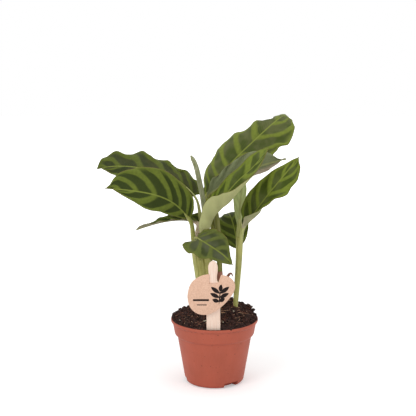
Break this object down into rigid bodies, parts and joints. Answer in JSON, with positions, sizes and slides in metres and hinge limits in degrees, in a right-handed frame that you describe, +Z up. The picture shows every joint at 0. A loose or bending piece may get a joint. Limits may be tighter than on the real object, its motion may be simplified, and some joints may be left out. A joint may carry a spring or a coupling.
{
  "type": "potted calathea",
  "caption": "Young zebra-leaved foliage plant in a tapered nursery pot with a stepped collar, heaped peat, a wooden label stick and a card tag.",
  "frame": {"origin": "middle of the pot's flat underside, on the surface it stands on", "axes": "+Z up, -Y towards the side that the tag faces, +X to the right of that view"},
  "size_m": [0.2077, 0.1179, 0.2694],
  "materials": {
    "terracotta_plastic": "satin moulded terracotta-coloured plastic, slightly dusty",
    "peat_soil": "moist dark peat with fibres and bark crumbs",
    "birch_wood": "bare fine-grained birch",
    "kraft_card": "matte kraft card with a plain dark print",
    "leaf_sheath": "satin olive-green, fine lengthwise ribs",
    "dried_leaf": "dry and papery red-brown",
    "leaf_stalk": "satin olive-green",
    "leaf_blade": "satin green with light and dark bands, grey-green underside"
  },
  "bodies": {
    "root": {"pot": "terracotta_plastic", "soil": "peat_soil", "label_stick": "birch_wood", "plant_tag": "kraft_card", "sheath_left": "leaf_sheath", "sheath_middle": "leaf_sheath", "sheath_rear": "leaf_sheath", "sheath_right": "leaf_sheath", "dried_sheath_tip": "dried_leaf", "stalk_rear_left": "leaf_stalk", "stalk_rolled": "leaf_stalk", "stalk_front_left": "leaf_stalk", "stalk_low_left": "leaf_stalk", "stalk_funnel": "leaf_stalk", "stalk_small_front": "leaf_stalk", "stalk_top": "leaf_stalk", "stalk_behind_funnel": "leaf_stalk", "stalk_half_rolled": "leaf_stalk", "stalk_right": "leaf_stalk", "stalk_low_rear": "leaf_stalk", "leaf_rear_left": "leaf_blade", "leaf_front_left": "leaf_blade", "leaf_top": "leaf_blade", "leaf_front_funnel": "leaf_blade", "leaf_behind_funnel": "leaf_blade", "leaf_half_rolled": "leaf_blade", "leaf_right": "leaf_blade", "leaf_small_front": "leaf_blade", "leaf_low_left": "leaf_blade", "leaf_low_rear": "leaf_blade", "leaf_rolled": "leaf_blade"}
  },
  "joints": []
}
